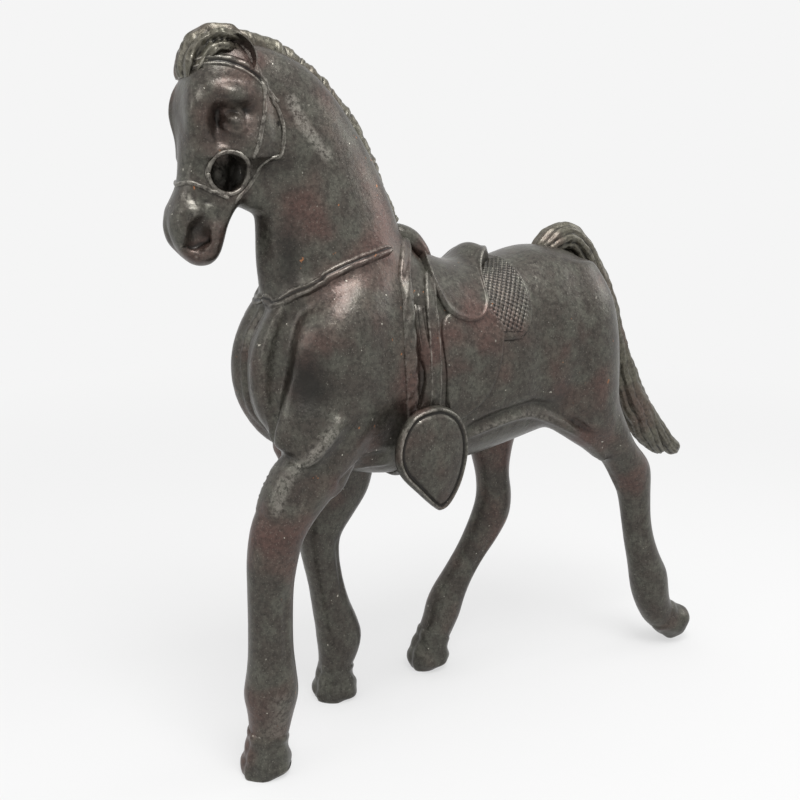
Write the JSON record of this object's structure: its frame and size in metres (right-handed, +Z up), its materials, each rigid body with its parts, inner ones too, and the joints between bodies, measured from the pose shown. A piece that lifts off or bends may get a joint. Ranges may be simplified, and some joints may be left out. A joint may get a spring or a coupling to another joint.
{
  "type": "horse statuette",
  "caption": "Cast-metal statuette of a walking saddle horse with bridle, breast strap, saddle, blanket and hooded stirrups, standing on its hooves.",
  "frame": {"origin": "on the surface it stands on, at the middle of the object's box in plan", "axes": "+Z up, the horse faces -Y, its near (left) side is +X"},
  "size_m": [0.036, 0.1127, 0.12],
  "materials": {
    "bronze_body": "dark brown-grey patina over cast metal",
    "bronze_tack": "dark patina, worn lighter on the raised edges",
    "bronze_hair_and_hoof": "darkest patina, greenish grey in the grooves"
  },
  "bodies": {
    "root": {"browband": "bronze_tack", "crownpiece": "bronze_tack", "forelock": "bronze_hair_and_hoof", "girth": "bronze_tack", "mane": "bronze_hair_and_hoof", "near_bit_ring": "bronze_tack", "near_body_shell": "bronze_body", "near_breast_strap": "bronze_tack", "near_cheekpiece": "bronze_tack", "near_ear": "bronze_body", "near_fender": "bronze_tack", "near_fore_hoof": "bronze_hair_and_hoof", "near_foreleg": "bronze_body", "near_hind_hoof": "bronze_hair_and_hoof", "near_hind_leg": "bronze_body", "near_saddle_flap": "bronze_tack", "near_stirrup": "bronze_tack", "near_stirrup_leather": "bronze_tack", "noseband": "bronze_tack", "off_bit_ring": "bronze_tack", "off_body_shell": "bronze_body", "off_breast_strap": "bronze_tack", "off_cheekpiece": "bronze_tack", "off_ear": "bronze_body", "off_fender": "bronze_tack", "off_fore_hoof": "bronze_hair_and_hoof", "off_foreleg": "bronze_body", "off_hind_hoof": "bronze_hair_and_hoof", "off_hind_leg": "bronze_body", "off_saddle_flap": "bronze_tack", "off_stirrup": "bronze_tack", "off_stirrup_leather": "bronze_tack", "saddle_blanket": "bronze_tack", "saddle_horn": "bronze_tack", "saddle_seat": "bronze_tack", "tail": "bronze_hair_and_hoof"}
  },
  "joints": []
}
